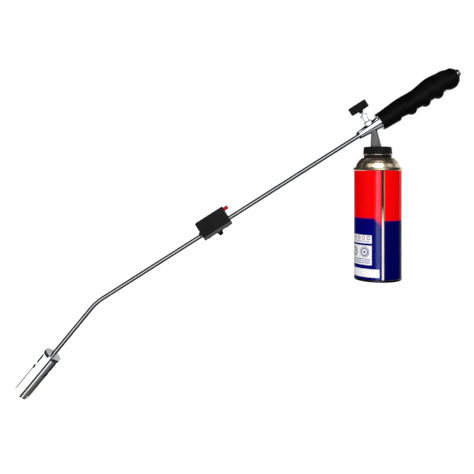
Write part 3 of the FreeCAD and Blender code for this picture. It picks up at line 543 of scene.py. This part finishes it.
def add_strip(name, middle, way, low, high, brightness, *names):
    """Long light beside an axis, mirrored between two angles round it by the named CAD nodes only."""
    over = Vector((0, -1, 0)).cross(way)
    turn = math.radians((low + high) / 2)
    back = Vector((0, -1, 0)) * math.cos(turn) + over * math.sin(turn)
    width = 2 * STRIP_DISTANCE * math.tan(math.radians((high - low) / 2))
    power = brightness * math.pi * STRIP_LENGTH * width
    lamp = add_lamp(name, middle + back * STRIP_DISTANCE, middle, STRIP_LENGTH, width, power, True)
    lamp.rotation_euler = Matrix((way, back.cross(way), back)).transposed().to_euler()
    light_only(lamp, *names)


def make_lamps():
    """Lights that only some pieces mirror, and soft fills that no surface mirrors."""
    strip = add_lamp("highlight_strip", HIGHLIGHT_PLACE, (CAN_X, 0.0, HIGHLIGHT_AIM_Z), HIGHLIGHT_SIZE,
                     HIGHLIGHT_SIZE, HIGHLIGHT_POWER, True)
    strip.data.color = HIGHLIGHT_COLOUR
    light_only(strip, "can_body")
    add_strip("lance_strip", ALONG * LANCE_STRIP_STATION, ALONG, *LANCE_STRIP, "lance_tube")
    for strip_row in VALVE_STRIPS:
        add_strip("valve_strip", ALONG * VALVE_STRIP_STATION, ALONG, *strip_row, "valve_body", "grip_flange")
    below_burner = ALONG * BEND_STATION + BURNER_WAY * BURNER_STRIP_STATION
    for strip_row in BURNER_STRIPS:
        add_strip("burner_strip", below_burner, -BURNER_WAY, *strip_row, "burner_tube")
    for sideways, size, power in DOME_LIGHTS:
        place = (CAN_X + sideways, DOME_LIGHT_Y, DOME_LIGHT_Z)
        dome = add_lamp("dome_light", place, (CAN_X, 0.0, CAN_HIGH.z), size, DOME_LIGHT_DEPTH, power, True)
        light_only(dome, "can_dome", "valve_cup")
    for name, place, size, size_y, power in FILLS:
        add_lamp(name, place, FILL_AIM, size, size_y, power)


# Materials of the CAD nodes

CHROME = (0.86, 0.87, 0.89)
BLACK = (0.0018, 0.0018, 0.002)


def dress(material, *names):
    """Give CAD nodes one material."""
    for name in names:
        mesh = nodes[name].data
        mesh.materials.clear()
        mesh.materials.append(material)
        for face in mesh.polygons:
            face.material_index = 0


def dress_inside(name, material, axis_point, axis_way, radius):
    """Give a second material to a tube's faces that lie inside a radius from its axis."""
    mesh = nodes[name].data
    mesh.materials.append(material)
    for face in mesh.polygons:
        offset = face.center - axis_point
        if (offset - axis_way * offset.dot(axis_way)).length < radius:
            face.material_index = 1


def dress_all():
    dress(metal("lance_chrome", CHROME, 0.02, 0.03, (30.0, 1500.0, 1500.0)), "lance_tube")
    dress(metal("valve_chrome", CHROME, 0.02, 0.03), "front_ring", "valve_body", "bonnet", "gland_nut",
          "grip_flange", "end_washer")
    dress(burner_steel("burner_chrome", (0.84, 0.85, 0.87), 0.03, 0.25), "burner_collar", "burner_tube")
    # Near-black steel on the tube's inside faces is painted shade inside the burner, with the straw tint
    # towards the mouth
    soot_and_shade = burner_steel("inner_shade_steel", (0.05, 0.048, 0.045), 0.5, 0.5)
    dress_inside("burner_tube", soot_and_shade, ALONG * BEND_STATION, BURNER_WAY, BURNER_INSIDE)
    dress(burner_steel("holder_steel", (0.30, 0.29, 0.28), 0.35, 0.8), "flame_holder", "electrode_rod")
    dress(metal("brass", (0.72, 0.52, 0.24), 0.18, 0.12), "jet_holder", "gas_jet", "inlet_pin", "contact_pin")
    dress(metal("copper", (0.66, 0.33, 0.20), 0.22, 0.15), "gas_pipe")
    dress(metal("plain_steel", (0.48, 0.48, 0.49), 0.22, 0.15), "grip_core", "end_plug", "claw_ring",
          "valve_spindle", "piezo_hammer", "inlet_filter")
    dress(metal("spring_wire", (0.40, 0.40, 0.42), 0.25, 0.1), "button_spring", "hammer_spring",
          "valve_spring")
    dress(metal("zinc", (0.60, 0.61, 0.63), 0.2, 0.15), "cover_screws", "saddle_screws", "clamp_screw",
          "knob_screw", "claw_screws")
    dress(metal("nut_oxide", (0.16, 0.16, 0.17), 0.3, 0.15), "end_nut")
    # The cartridge's base is near-black bluish metal: a painted reflection of the dark surroundings below it
    dress(metal("tinplate", (0.06, 0.06, 0.085), 0.22, 0.12), "can_base")
    dress(gold_lacquer(), "can_dome", "valve_cup")
    dress(can_paint(), "can_body")
    # Kept out of reflections, so that neither colour nor dark shapes show in the bright metal
    for name in ("can_body", "can_dome", "valve_cup"):
        nodes[name].visible_glossy = False
    dress(ceramic(), "electrode_insulator", "piezo_crystal")
    dress(plastic("grip_moulding", BLACK, 0.40, 1900.0, 0.00008), "grip")
    dress(plastic("knob_moulding", (0.005, 0.005, 0.005), 0.42, 2600.0, 0.00005), "control_knob")
    dress(metal("black_oxide", (0.02, 0.02, 0.022), 0.35, 0.15), "clamp_knob")
    # The collar ring is black so that the recess under the cartridge's flange shows as a dark band: painted
    # shade
    dress(plastic("box_moulding", (0.0055, 0.0055, 0.0055), 0.46, 2200.0, 0.00007), "igniter_housing",
          "igniter_cover", "lock_cap", "collar_ring")
    # The saddle's grey, far lighter than the black box, is a painted sheen that stands in for light on its
    # rounded lower edge
    dress(plastic("saddle_moulding_sheen", (0.06, 0.06, 0.063), 0.42, 2200.0, 0.00006), "clamp_saddle")
    dress(plastic("arm_casting", (0.10, 0.10, 0.103), 0.38, 1500.0, 0.00008), "inlet_arm")
    dress(plastic("white_nylon", (0.72, 0.72, 0.69), 0.4, 1800.0, 0.00003), "piezo_case", "valve_housing",
          "valve_stem", "vapour_tube")
    dress(plastic("button_gloss", (0.45, 0.012, 0.02), 0.22, 2600.0, 0.00001, 0.06, 0.2), "igniter_button")
    dress(rubber("black_rubber", (0.012, 0.012, 0.012)), "lead_bush", "inlet_seal", "stem_gasket")
    dress(rubber("graphite", (0.03, 0.03, 0.032)), "packing_ring")
    dress(rubber("lead_silicone", (0.45, 0.03, 0.02)), "ignition_lead")


scene.view_settings.view_transform = "Standard"
make_camera()
make_floor()
make_sky()
make_lamps()
dress_all()
